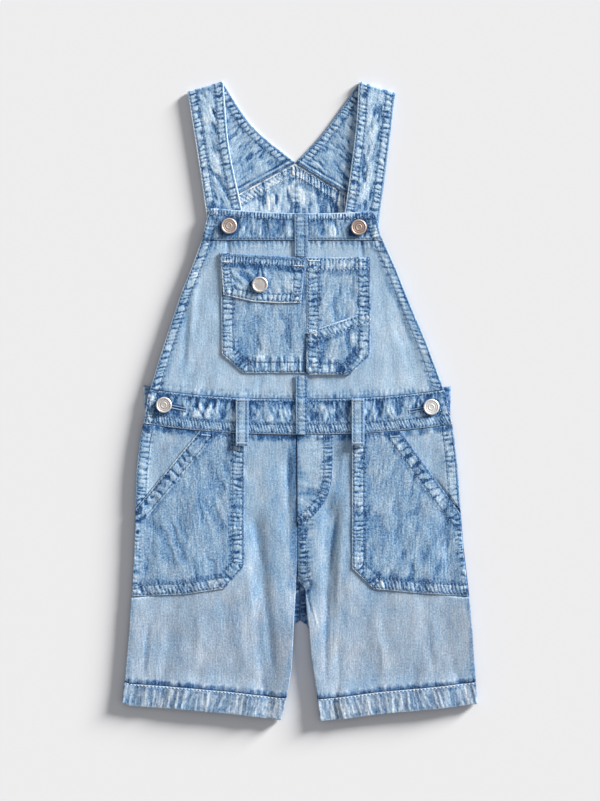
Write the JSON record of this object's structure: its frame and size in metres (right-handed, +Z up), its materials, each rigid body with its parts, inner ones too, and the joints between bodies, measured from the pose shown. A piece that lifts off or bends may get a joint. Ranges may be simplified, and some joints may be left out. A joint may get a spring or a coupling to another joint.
{
  "type": "denim short dungarees",
  "caption": "Short dungarees for a small child in pale washed denim, buttoned up and laid flat, with a square bib, a flap pocket, two hand pockets and straps folded over at the shoulders.",
  "frame": {"origin": "middle of the underside: halfway across and halfway along the garment, on the surface it lies on", "axes": "+X to the right as the front is seen, +Y along the garment towards the straps, +Z up from the surface, out of the front"},
  "size_m": [0.2912, 0.524, 0.0117],
  "materials": {
    "denim": "pale washed twill, worn whitish along its seams and edges",
    "denim_back": "the same washed twill, less worn",
    "thread": "twisted sewing thread, washed out",
    "button_metal": "worn copper-nickel, satin"
  },
  "bodies": {
    "root": {"front_leg_left": "denim", "front_leg_right": "denim", "front_hem_left": "denim", "front_hem_right": "denim", "front_waistband": "denim", "bib_panel": "denim", "bib_top_band": "denim", "centre_strip_upper": "denim", "centre_strip_lower": "denim", "bib_pocket_left": "denim", "bib_pocket_right": "denim", "bib_tool_pocket": "denim", "pocket_flap": "denim", "hand_pocket_left": "denim", "hand_pocket_right": "denim", "belt_loop_left": "denim", "belt_loop_right": "denim", "strap_left": "denim", "strap_right": "denim", "back_leg_left": "denim_back", "back_leg_right": "denim_back", "back_waistband": "denim_back", "back_bib": "denim_back", "bib_button_left": "button_metal", "bib_button_right": "button_metal", "side_button_left": "button_metal", "side_button_right": "button_metal", "flap_button": "button_metal"}
  },
  "joints": []
}
